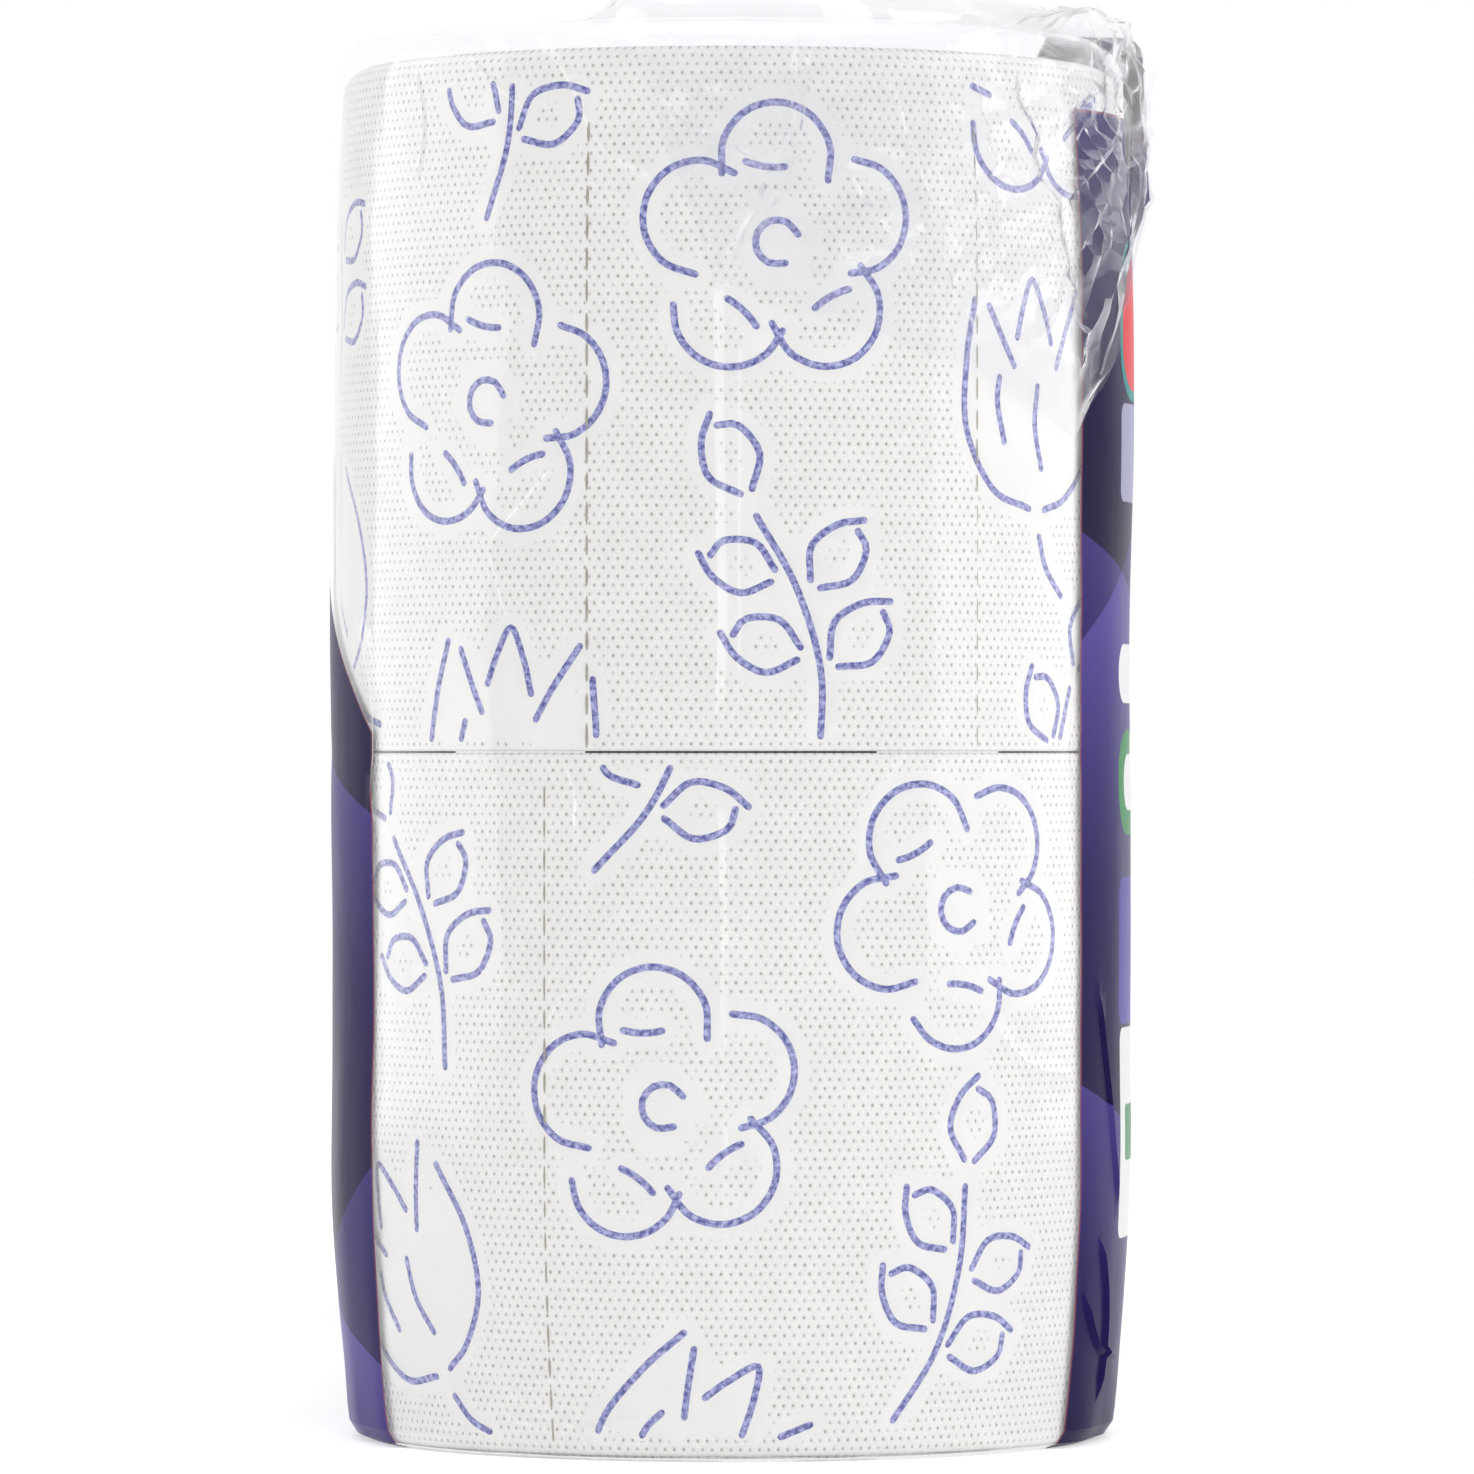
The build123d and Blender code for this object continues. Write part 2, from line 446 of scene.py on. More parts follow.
turn_wave = add(tree, "ShaderNodeMath", (add(tree, "ShaderNodeMath", (turn_count, 2 * math.pi),
                                             operation="MULTIPLY"),), operation="SINE")
edge_fluff = add(tree, "ShaderNodeTexNoise",
                 {"Vector": place, "Scale": 1800.0, "Detail": 4.0, "Roughness": 0.7})
turn_height = add(tree, "ShaderNodeMath", (turn_wave, add(tree, "ShaderNodeMath", (edge_fluff, 1.2),
                                                          operation="MULTIPLY")), operation="ADD")
# The white is the plies' own colour; the soft grey between the rings is painted shade in the gaps between
# turns
ply_tone_and_gap_painted_shade = add(tree, "ShaderNodeMix", {0: add(tree, "ShaderNodeMapRange",
                                              (turn_height, -0.8, 1.0, 0.0, 1.0)), 6: colour("#D9D7D2"),
                                       7: colour("#F4F3F0")}, data_type="RGBA")
add(tree, "ShaderNodeOutputMaterial", (add(tree, "ShaderNodeBsdfPrincipled", {
    "Base Color": ply_tone_and_gap_painted_shade.outputs[2], "Roughness": 0.95, "IOR": 1.4, "Specular IOR Level": 0.2,
    "Normal": add(tree, "ShaderNodeBump", {"Strength": 0.6, "Distance": 0.15 * MM,
                                           "Height": turn_height})}),))

columns = 180
around = 2 * math.pi * roll_radius
column_places = np.linspace(-around / 2, around / 2, columns + 1)
for layer_index, layer_name in enumerate(LAYERS):
    foot, head = edge_radii(layer_index)
    for number in (1, ROLLS, *range(2, ROLLS)):
        node_name = f"{layer_name}_paper_roll_{number}"
        low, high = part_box(node_name)
        if 1 < number < ROLLS:
            # A roll inside the row is the same as the one at its nearer end
            twin = 1 if number <= ROLLS // 2 else ROLLS
            mesh = bpy.data.objects[f"tissue_roll_{layer_name}_{twin}"].data.copy()
            along_row = low.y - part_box(f"{layer_name}_paper_roll_{twin}")[0].y
            mesh.transform(Matrix.Translation((0, along_row, 0)))
            roll = bpy.data.objects.new(f"tissue_roll_{layer_name}_{number}", mesh)
            bpy.context.scene.collection.objects.link(roll)
            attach(roll, "root")
            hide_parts(node_name)
            continue
        axis_y = (low.y + high.y) / 2
        z_low, z_high = low.z + foot + end_gap, high.z - head - end_gap
        # The seam of the unrolled sheet faces the next roll along
        facing = 0.0 if number <= ROLLS // 2 else math.pi
        shift = (17 * layer_index - 6 * number) * MM % drawing_pitch - 20 * MM
        lines, patches = printed_lines(z_low, z_high, shift, 11 + layer_index * 7 + number)
        rows = np.linspace(z_low, z_high, 47)
        grid = np.array([(u, z) for z in rows for u in column_places])
        gap = distance_to(lines, grid, 6 * MM)
        near_rim = 1e-6
        rim = ((grid[:, 1] < z_low + near_rim) | (grid[:, 1] > z_high - near_rim)
               | (abs(grid[:, 0]) > around / 2 - near_rim))
        grid = grid[rim | (gap > line_width / 2 + line_slope + 0.55 * MM)]
        floor_loops = [ribbon(line, line_width / 2) for line in lines]
        brim_loops = [ribbon(line, line_width / 2 + line_slope) for line in lines]
        flat, faces, inside_of = triangulated(grid, floor_loops + brim_loops, [])
        from_line = distance_to(lines, flat, 6 * MM)
        sunk = 1 - np.clip((from_line - line_width / 2) / line_slope, 0, 1)
        press = np.exp(-((np.clip(from_line - line_width / 2, 0, None) / (2.2 * MM)) ** 2))
        swell = np.array([noise.noise((u * 42, z * 42, number + 9.0 * layer_index)) for u, z in flat])
        to_edge = np.minimum(np.minimum(flat[:, 1] - z_low, z_high - flat[:, 1]),
                             around / 2 - abs(flat[:, 0]))
        edge_fade = np.clip(to_edge / (3 * MM), 0, 1)
        height = (-line_depth * sunk - 0.13 * MM * press * (1 - sunk) + 0.1 * MM * swell
                  * edge_fade) * np.clip(edge_fade * 4, 0, 1)
        for patch in patches:
            from_line[inside(flat, patch)] = 0
        radius = roll_radius - drawn_in(flat[:, 1]) + np.minimum(height, 0.08 * MM)
        angle = flat[:, 0] / roll_radius + facing
        points = np.column_stack([radius * np.sin(angle), axis_y - radius * np.cos(angle), flat[:, 1]])
        uvs = flat.copy()
        kinds = [1 if any(k < len(floor_loops) for k in owners) else 0 for owners in inside_of]
        from_line = list(from_line / MM)
        # The two sawn ends and the bore, as rings from one edge of the printed face round to the other
        section = [(roll_radius - drawn_in(z_high) - head * (1 - math.cos(a)), z_high + head * math.sin(a),
                    0) for a in np.radians(np.linspace(0, 90, 6))]
        end_radii = np.linspace(section[-1][0], core_radius + 0.4 * MM, 13)[1:]
        dips = [0.1 * MM + 0.22 * MM * (k % 2) for k in range(len(end_radii))]
        section += [(r, high.z - end_gap - dip, 1) for r, dip in zip(end_radii, dips)]
        section += [(core_radius, high.z - 0.6 * MM, 1), (core_radius, low.z + 0.6 * MM, 1)]
        section += [(r, low.z + end_gap + dip, 1) for r, dip in zip(end_radii[::-1], dips)]
        section += [(roll_radius - drawn_in(z_low) - foot * (1 - math.cos(a)), z_low - foot * math.sin(a),
                     0) for a in np.radians(np.linspace(90, 0, 6))]
        start = len(points)
        ring_points, ring_uvs = [], []
        for r, z, kind in section:
            a = column_places[:-1] / roll_radius + facing
            ring_points += list(zip(r * np.sin(a), axis_y - r * np.cos(a), np.full(columns, z)))
            ring_uvs += list(zip(column_places[:-1], np.full(columns, r if kind else z)))
            from_line += [6.0] * columns
        more = ring_faces(len(section), columns, start)
        more_kinds = [2 if below[2] or above[2] else 0 for below, above in zip(section, section[1:])
                      for _ in range(columns)]
        all_uvs = np.vstack([uvs, ring_uvs])
        all_faces = faces + more
        corner_uvs = np.vstack([all_uvs[list(face)] for face in all_faces])
        starts = np.cumsum([0] + [len(face) for face in all_faces])
        for f in range(len(faces), len(all_faces)):
            corners = corner_uvs[starts[f] : starts[f + 1]]
            if np.ptp(corners[:, 0]) > around / 2:
                corners[corners[:, 0] < 0, 0] += around
            if more_kinds[f - len(faces)] == 2:
                row = (f - len(faces)) // columns
                corners[:, 1] = [section[row][0], section[row][0], section[row + 1][0], section[row + 1][0]]
        roll = closed_piece(f"tissue_roll_{layer_name}_{number}", np.vstack([points, ring_points]),
                            all_faces, corner_uvs,
                            [tissue, ink, sawn_ends], kinds + more_kinds, {"from_line": from_line})
        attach(roll, "root")
        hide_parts(node_name)


# ---------------------------------------------------------------------------------------------
# Tear lines. A toothed blade cuts a row of short slits across the sheet, a sheet's length apart,
# so that it tears there. The slits gape a little on the curved roll and show as dark dashes.
# ---------------------------------------------------------------------------------------------

slit_length, slit_pitch, slit_width, slit_depth = 3.6 * MM, 4.4 * MM, 0.42 * MM, 0.3 * MM

# A slit is a shadowed gap between fluffy edges, so it is matt and grey-brown
slit_shade, tree = blank_material("shaded_slit_in_tissue")
shade_noise = add(tree, "ShaderNodeTexNoise", {"Vector": add(tree, "ShaderNodeTexCoord").outputs["Object"],
                                               "Scale": 700.0})
shade_tone = add(tree, "ShaderNodeMix", {0: shade_noise, 6: colour("#8A8474"), 7: colour("#B9B4A6")},
                 data_type="RGBA")
add(tree, "ShaderNodeOutputMaterial",
    (add(tree, "ShaderNodeBsdfPrincipled", {"Base Color": shade_tone.outputs[2], "Roughness": 1.0,
                                            "IOR": 1.4}),))


def named_inputs(tree, **kinds):
    """Opens a geometry tree with named float inputs, and gives its input node."""
    for name, kind in kinds.items():
        tree.interface.new_socket(name.replace("_", " "), in_out="INPUT", socket_type=kind)
    tree.interface.new_socket("Geometry", in_out="OUTPUT", socket_type="NodeSocketGeometry")
    return tree.nodes.new("NodeGroupInput")


def grown(name, tree, values):
    """The mesh that a geometry tree makes with these input values."""
    holder = bpy.data.objects.new(name, bpy.data.meshes.new(name))
    bpy.context.scene.collection.objects.link(holder)
    modifier = holder.modifiers.new(name, "NODES")
    modifier.node_group = tree
    for item in tree.interface.items_tree:
        if item.in_out == "INPUT" and item.name in values:
            modifier[item.identifier] = values[item.name]
    mesh = bpy.data.meshes.new_from_object(holder.evaluated_get(bpy.context.evaluated_depsgraph_get()))
    holder.modifiers.remove(modifier)
    bpy.data.objects.remove(holder)
    mesh.name = name
    return mesh


# The tree sets slits in a column at X, Z from Low to High, then leans them in with the drawn-in wall
slit_tree = bpy.data.node_groups.new("row_of_slits", "GeometryNodeTree")
given = named_inputs(slit_tree, Radius="NodeSocketFloat", Low="NodeSocketFloat", High="NodeSocketFloat",
                     Pitch="NodeSocketFloat",
                     Length="NodeSocketFloat", Width="NodeSocketFloat", Depth="NodeSocketFloat",
                     Seed="NodeSocketInt", Material="NodeSocketMaterial")
span = add(slit_tree, "ShaderNodeMath", (given.outputs["High"], given.outputs["Low"]), operation="SUBTRACT")
count = add(slit_tree, "ShaderNodeMath",
            (add(slit_tree, "ShaderNodeMath", (span, given.outputs["Pitch"]), operation="DIVIDE"),),
            operation="FLOOR")
line = add(slit_tree, "GeometryNodeMeshLine",
           {"Count": count, "Start Location": add(slit_tree, "ShaderNodeCombineXYZ",
                                                  {"X": given.outputs["Radius"],
                                                   "Z": given.outputs["Low"]}),
            "Offset": add(slit_tree, "ShaderNodeCombineXYZ",
                          {"Z": given.outputs["Pitch"]})}, mode="OFFSET")
slit = add(slit_tree, "GeometryNodeMeshIcoSphere", {"Radius": 0.5, "Subdivisions": 2})
vary = add(slit_tree, "FunctionNodeRandomValue", {2: 0.72, 3: 1.08, "Seed": given.outputs["Seed"]},
           data_type="FLOAT")
slit_size = add(slit_tree, "ShaderNodeCombineXYZ",
                {"X": given.outputs["Depth"], "Y": given.outputs["Width"],
                 "Z": add(slit_tree, "ShaderNodeMath",
                          (given.outputs["Length"], vary.outputs[1]),
                          operation="MULTIPLY")})
slits = add(slit_tree, "GeometryNodeInstanceOnPoints",
            {"Points": line, "Instance": slit, "Scale": slit_size})
slits = add(slit_tree, "GeometryNodeRealizeInstances", {"Geometry": slits})
height = add(slit_tree, "ShaderNodeSeparateXYZ", (add(slit_tree, "GeometryNodeInputPosition"),))
low_share = add(slit_tree, "ShaderNodeMapRange", {0: height.outputs["Z"], 1: stack_base + base_draw_height,
                                                  2: stack_base, 3: 0.0, 4: 1.0})
high_share = add(slit_tree, "ShaderNodeMapRange", {0: height.outputs["Z"], 1: stack_head - head_draw_height,
                                                   2: stack_head, 3: 0.0, 4: 1.0})
low_in = add(slit_tree, "ShaderNodeMath",
             (add(slit_tree, "ShaderNodeMath", (low_share, 2.0), operation="POWER"), -base_draw_in),
             operation="MULTIPLY")
high_in = add(slit_tree, "ShaderNodeMath",
              (add(slit_tree, "ShaderNodeMath", (high_share, 2.0), operation="POWER"), -head_draw_in),
              operation="MULTIPLY")
lean = add(slit_tree, "ShaderNodeCombineXYZ",
           {"X": add(slit_tree, "ShaderNodeMath", (low_in, high_in), operation="ADD")})
leaning = add(slit_tree, "GeometryNodeSetPosition", {"Geometry": slits, "Offset": lean})
finished = add(slit_tree, "GeometryNodeSetMaterial",
               {"Geometry": leaning, "Material": given.outputs["Material"]})
add(slit_tree, "NodeGroupOutput", (finished,))

# Two lines on each roll, as degrees from the middle of the end that it shows and a share of the full
# width. The fainter one is on the turn below and shows through.
tear_lines = (((-20.5, 1.0), (37.0, 0.45)), ((-27.0, 0.8), (64.0, 0.4)))
all_slits = bmesh.new()
for layer_index, layer_name in enumerate(LAYERS):
    for number in (1, ROLLS):
        low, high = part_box(f"{layer_name}_paper_roll_{number}")
        foot, head = edge_radii(layer_index)
        for turn, width in tear_lines[(layer_index + (number == 1)) % 2]:
            mesh = grown("row_of_slits", slit_tree, {
                "Radius": roll_radius - 0.02 * MM - (1 - width) * 0.08 * MM, "Low": low.z + foot + 1.6 * MM,
                "High": high.z - head, "Pitch": slit_pitch,
                "Length": slit_length, "Width": slit_width * width, "Depth": slit_depth,
                "Seed": 5 + number + layer_index, "Material": slit_shade})
            way = math.radians(turn - 90 if number == 1 else turn + 90)
            mesh.transform(Matrix.Translation((0, (low.y + high.y) / 2, 0)) @ Matrix.Rotation(way, 4, "Z"))
            all_slits.from_mesh(mesh)
slit_mesh = bpy.data.meshes.new("tear_line_slits")
all_slits.to_mesh(slit_mesh)
all_slits.free()
slit_mesh.materials.append(slit_shade)
slits_piece = bpy.data.objects.new("tear_line_slits", slit_mesh)
bpy.context.scene.collection.objects.link(slits_piece)
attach(slits_piece, "root")

# ---------------------------------------------------------------------------------------------
# Film bag. Blown polyethylene film 0.04 mm thick, printed on the long sides before the bag is made
# and left clear at the ends and top. It is drawn tight round the rolls and heat-sealed, so it is
# smooth on the rolls, pulled in between them, and creased where its folds and seams end.
# ---------------------------------------------------------------------------------------------

bag_low, bag_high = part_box("film_bag")
bag_side, bag_head = -bag_low.x, bag_high.z
end_axis = bag_high.y - bag_side
end_arc = math.pi / 2 * bag_side
bag_around = 4 * (end_arc + end_axis)
rim_radius, foot_radius = 6.0 * MM, 2.8 * MM
v_low, v_high = foot_radius * (1 - math.pi / 2), bag_head + rim_radius * (math.pi / 2 - 1)
roll_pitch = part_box("lower_paper_roll_2")[0].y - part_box("lower_paper_roll_1")[0].y
clear_left, clear_right = -61.5 * MM, 59.0 * MM
print_head = 189 * MM


def bag_place(u, v, out, straight_from=None):
    """Points on the bag. u runs round it from the middle of the -Y end, v up it (the height, on its wall),
    and out is outwards. Past straight_from the surface leaves the wall on a tangent, as a flap does."""
    u, v, out = (np.asarray(a, float) for a in np.broadcast_arrays(u, v, out))
    if straight_from is not None:
        past = np.clip(u - straight_from, 0, None)
        u = np.minimum(u, straight_from)
    low_turn = np.clip((v - v_low) / foot_radius, 0, math.pi / 2)
    high_turn = np.clip((v - (bag_head - rim_radius)) / rim_radius, 0, math.pi / 2)
    past_rim = np.clip(v - v_high, 0, None)
    inset = foot_radius * (1 - np.sin(low_turn)) + rim_radius * (1 - np.cos(high_turn)) + past_rim
    on_rim = bag_head - rim_radius + rim_radius * np.sin(high_turn)
    z = np.where(v < foot_radius, foot_radius * (1 - np.cos(low_turn)), v)
    z = np.where(v > bag_head - rim_radius, on_rim, z)
    radial = np.where(v < foot_radius, np.sin(low_turn), np.cos(high_turn))
    upward = np.where(v < foot_radius, -np.cos(low_turn), np.sin(high_turn))
    reach = bag_side - inset - drawn_in(z) + out * radial
    side, a = np.sign(u), abs(u)
    near, far = np.minimum(a, end_arc) / bag_side, np.clip(a - end_arc - 2 * end_axis, 0, None) / bag_side
    along = np.clip(a - end_arc, 0, 2 * end_axis) - end_axis
    turn = near + far
    x, y = side * np.sin(turn) * reach, along - np.cos(turn) * reach
    if straight_from is not None:
        x, y = x + past * np.cos(turn), y + past * np.sin(turn)
    return np.column_stack([x, y, z + out * upward])


def crease(knots, width, height, wobble=0.0, seed=0):
    """A sharp fold in the film: its ridge line through knots in mm, its two feet, and its height."""
    line = smooth_line(np.array(knots) * MM, 1.6 * MM)
    if wobble:
        sway = np.array([noise.noise((x * 90, y * 90, seed)) for x, y in line]) * wobble * MM
        along = np.gradient(line, axis=0)
        along /= np.linalg.norm(along, axis=1)[:, None]
        line = line + np.column_stack([-along[:, 1], along[:, 0]]) * sway[:, None]
    return line, width * MM, 1.7 * height * MM


def creased(points, creases):
    """How far creases raise each point."""
    total = np.zeros(len(points))
    for line, width, height in creases:
        a, b = line[:-1], line[1:]
        low, high = line.min(0) - width, line.max(0) + width
        near = np.flatnonzero(((points > low) & (points < high)).all(1))
        if not len(near):
            continue
        p = points[near][:, None, :]
        way = b - a
        share = np.clip(((p - a) * way).sum(2) / (way * way).sum(1), 0, 1)
        gap = np.linalg.norm(p - a - share[:, :, None] * way, axis=2)
        best = gap.argmin(1)
        run = (best + share[np.arange(len(near)), best]) / len(a)
        fade = np.clip(np.minimum(run, 1 - run) * 8, 0, 1)
        total[near] += height * np.clip(1 - gap.min(1) / width, 0, 1) * fade
    return total


def crease_chains(creases):
    """The lines that the mesh has to follow for its creases: each ridge and its two feet."""
    chains = []
    for line, width, _ in creases:
        along = np.gradient(line, axis=0)
        along /= np.linalg.norm(along, axis=1)[:, None]
        across = np.column_stack([-along[:, 1], along[:, 0]]) * width
        chains += [line, (line + across), (line - across)]
    return chains


def kept_clear(grid, creases, room):
    """Grid points that don't crowd a crease."""
    keep = np.ones(len(grid), bool)
    for line, width, _ in creases:
        low, high = line.min(0) - width - room, line.max(0) + width + room
        box = np.flatnonzero(((grid > low) & (grid < high)).all(1))
        if len(box):
            gap = np.linalg.norm(grid[box][:, None, :] - line[None], axis=2).min(1)
            keep[box[gap < width + room]] = False
    return keep


def ruffle(points, stretch, seed, detail=2):
    """Smooth noise at points in space, stretched by a scale along each axis."""
    scaled = points * np.array(stretch)
    return np.array([noise.fractal((x + seed * 7.3, y, z), 0.8, 2.1, detail) for x, y, z in scaled])


# Blown film: colourless and glossy, it mirrors a little from both faces and is slightly milky
clear_tree = bpy.data.node_groups.new("clear_film", "ShaderNodeTree")
clear_tree.interface.new_socket("Shader", in_out="OUTPUT", socket_type="NodeSocketShader")
film_place = add(clear_tree, "ShaderNodeTexCoord").outputs["Object"]
drag = add(clear_tree, "ShaderNodeTexNoise",
           {"Vector": add(clear_tree, "ShaderNodeMapping", {"Vector": film_place, "Scale": (260, 260, 70)}),
            "Scale": 1.0, "Detail": 3.0})
film_bump = add(clear_tree, "ShaderNodeBump", {"Strength": 0.55, "Distance": 0.14 * MM, "Height": drag})
outer_face = add(clear_tree, "ShaderNodeMath",
                 (1.0, add(clear_tree, "ShaderNodeNewGeometry").outputs["Backfacing"]),
                 operation="SUBTRACT")
two_faces = add(clear_tree, "ShaderNodeMath",
                (add(clear_tree, "ShaderNodeFresnel", {"IOR": 1.5, "Normal": film_bump}), 2.0, -0.04),
                operation="MULTIPLY_ADD")
mirror_share = add(clear_tree, "ShaderNodeMath", (two_faces, outer_face), operation="MULTIPLY",
                   use_clamp=True)
see_through = add(clear_tree, "ShaderNodeBsdfTransparent", {"Color": colour("#FEFEFF")})
milky = add(clear_tree, "ShaderNodeMixShader",
            {0: 0.015, 1: see_through,
             2: add(clear_tree, "ShaderNodeBsdfDiffuse", {"Color": colour("#F4F6FA")})})
shine = add(clear_tree, "ShaderNodeBsdfGlossy",
            {"Color": (1, 1, 1, 1), "Roughness": 0.1, "Normal": film_bump})
add(clear_tree, "NodeGroupOutput",
    (add(clear_tree, "ShaderNodeMixShader", {0: mirror_share, 1: milky, 2: shine}),))

clear_film, tree = blank_material("clear_blown_polyethylene_film")
add(tree, "ShaderNodeOutputMaterial", (add(tree, "ShaderNodeGroup", node_tree=clear_tree),))

# Reverse-printed film: the ink lies under the gloss, violet fading to navy, with flat fields of other inks
field_tree = bpy.data.node_groups.new("rounded_print_field", "ShaderNodeTree")
for name, kind in (("Place", "NodeSocketVector"), ("Middle", "NodeSocketVector"),
                   ("Half size", "NodeSocketVector"), ("Corner", "NodeSocketFloat")):
    field_tree.interface.new_socket(name, in_out="INPUT", socket_type=kind)
field_tree.interface.new_socket("Share", in_out="OUTPUT", socket_type="NodeSocketFloat")
given = field_tree.nodes.new("NodeGroupInput")
offset = add(field_tree, "ShaderNodeVectorMath",
             (add(field_tree, "ShaderNodeVectorMath", (given.outputs["Place"], given.outputs["Middle"]),
                  operation="SUBTRACT"),), operation="ABSOLUTE")
past = add(field_tree, "ShaderNodeVectorMath", (offset, given.outputs["Half size"]), operation="SUBTRACT")
past = add(field_tree, "ShaderNodeVectorMath",
           (past, add(field_tree, "ShaderNodeCombineXYZ",
                      {"X": given.outputs["Corner"], "Y": given.outputs["Corner"]})), operation="ADD")
past = add(field_tree, "ShaderNodeVectorMath", (past, (0, 0, -1)), operation="MAXIMUM")
past = add(field_tree, "ShaderNodeVectorMath", (past, (0, 0, 0)), operation="MAXIMUM")
gap = add(field_tree, "ShaderNodeMath",
          (add(field_tree, "ShaderNodeVectorMath", (past,), operation="LENGTH").outputs["Value"],
           given.outputs["Corner"]), operation="SUBTRACT")
add(field_tree, "NodeGroupOutput",
    (add(field_tree, "ShaderNodeMapRange", {0: gap, 1: 0.1 * MM, 2: -0.1 * MM, 3: 0.0, 4: 1.0}),))

printed_film, tree = blank_material("violet_printed_polyethylene_film")
place = add(tree, "ShaderNodeUVMap", uv_map="surface").outputs[0]
spread = add(tree, "ShaderNodeSeparateXYZ", (place,))
u_place, v_place = spread.outputs["X"], spread.outputs["Y"]
print_tone = 0.0
for way, length, shift, strength, softness in (((0.30, 0.95, 0), 74, 0.10, 0.62, 1.8),
                                               ((-0.52, 0.85, 0), 118, 0.44, 0.5, 2.4)):
    # A fan of light: each facet starts at a sharp slanted edge and fades away from it
    slant = add(tree, "ShaderNodeVectorMath", (place, way), operation="DOT_PRODUCT")
    phase = add(tree, "ShaderNodeMath", (add(tree, "ShaderNodeMath", (slant.outputs["Value"],
        1 / (length * MM), shift), operation="MULTIPLY_ADD"),), operation="FRACT")
    glow = add(tree, "ShaderNodeMath", (add(tree, "ShaderNodeMath", (phase, softness), operation="POWER"),
                                        strength), operation="MULTIPLY")
    print_tone = add(tree, "ShaderNodeMath", (glow, print_tone), operation="ADD")
blend_ramp = add(tree, "ShaderNodeValToRGB", (print_tone,))
blend_ramp.color_ramp.elements[0].color = colour("#130D38")
blend_ramp.color_ramp.elements[1].color = colour("#584B9A")
middle_stop = blend_ramp.color_ramp.elements.new(0.35)
middle_stop.color = colour("#261C58")
print_colour = blend_ramp.outputs[0]
for middle, half, corner, tone in (
        ((146, 160), (72.5, 11.5), 8, "#1F8C8A"), ((146, 160), (71, 10), 7, "#E5353F"),
        ((150, 141), (76, 7), 2, "#A7A6C6"), ((102, 109.5), (28, 4.2), 4, "#F2F2F4"),
        ((160, 94), (86, 7.5), 7, "#2E8B4E"), ((92, 94), (14, 4), 4, "#F2F2F4"),
        ((190, 70), (116, 10.5), 3, "#4A3C9E"),
        ((104, 44), (29, 15), 2, "#EEF1EE"), ((104, 44), (25, 4), 1, "#3C8C57"),
        ((330, 96), (52, 52), 50, "#F1F1F5"), ((330, 96), (46, 46), 44, "#8E86C4"),
        ((-250, 60), (90, 34), 6, "#EFEFF4"), ((-250, 78), (80, 4), 2, "#8E86C4"),
        ((-250, 64), (80, 4), 2, "#C9C6E2"),
        ((-250, 50), (80, 4), 2, "#C9C6E2"), ((-250, 36), (56, 4), 2, "#C9C6E2"),
        ((-250, 128), (110, 13), 12, "#2E8B4E")):
    field = add(tree, "ShaderNodeGroup", {"Place": place, "Middle": (middle[0] * MM, middle[1] * MM, 0),
                                          "Half size": (half[0] * MM, half[1] * MM, 0),
                                          "Corner": corner * MM}, node_tree=field_tree)
    print_colour = add(tree, "ShaderNodeMix", {0: field, 6: print_colour, 7: colour(tone)},
                       data_type="RGBA").outputs[2]

# Where the print ends: near-straight edges towards both ends of the pack, which slant away above the
# seam on the -X panel, and a level edge below the rim. A thin reddish trim runs along it.
waver = add(tree, "ShaderNodeMath", (add(tree, "ShaderNodeTexNoise",
                                         {"Vector": place, "Scale": 35.0, "Detail": 2.0}), 1.4 * MM,
                                     -0.7 * MM), operation="MULTIPLY_ADD")
u_print = add(tree, "ShaderNodeMath", (u_place, waver), operation="ADD")
far_middle = bag_around / 2
right_gap = add(tree, "ShaderNodeMath", (add(tree, "ShaderNodeMath", (u_print, clear_right),
                                             operation="SUBTRACT"),
                                         add(tree, "ShaderNodeMath", (far_middle - clear_right, u_print),
                                             operation="SUBTRACT")), operation="MINIMUM")
climb = add(tree, "ShaderNodeMapRange", {0: v_place, 1: 101 * MM, 2: 122 * MM, 3: 0.0, 4: 24 * MM})
climb_more = add(tree, "ShaderNodeMapRange", {0: v_place, 1: 122 * MM, 2: 190 * MM, 3: 0.0, 4: 60 * MM})
left_edge = add(tree, "ShaderNodeMath", (add(tree, "ShaderNodeMath", (climb, climb_more), operation="ADD"),
                                         -clear_left), operation="ADD")
back_place = add(tree, "ShaderNodeMath", (u_print, -1.0), operation="MULTIPLY")
left_gap = add(tree, "ShaderNodeMath", (add(tree, "ShaderNodeMath", (back_place, left_edge),
                                            operation="SUBTRACT"),
                                        add(tree, "ShaderNodeMath", (add(tree, "ShaderNodeMath",
                                            (far_middle, left_edge), operation="SUBTRACT"), back_place),
                                            operation="SUBTRACT")), operation="MINIMUM")
side_gap = add(tree, "ShaderNodeMath", (right_gap, left_gap), operation="MAXIMUM")
head_gap = add(tree, "ShaderNodeMath", (print_head, v_place), operation="SUBTRACT")
print_gap = add(tree, "ShaderNodeMath", (side_gap, head_gap), operation="MINIMUM")
inked = add(tree, "ShaderNodeMapRange", {0: print_gap, 1: -0.12 * MM, 2: 0.12 * MM, 3: 0.0, 4: 1.0})
trim = add(tree, "ShaderNodeMapRange", {0: print_gap, 1: 0.15 * MM, 2: 0.55 * MM, 3: 0.7, 4: 0.0})
print_colour = add(tree, "ShaderNodeMix", {0: trim, 6: print_colour, 7: colour("#A45A62")},
                   data_type="RGBA").outputs[2]
object_place = add(tree, "ShaderNodeTexCoord").outputs["Object"]
drag = add(tree, "ShaderNodeTexNoise",
           {"Vector": add(tree, "ShaderNodeMapping", {"Vector": object_place, "Scale": (200, 200, 60)}),
            "Scale": 1.0, "Detail": 3.0})
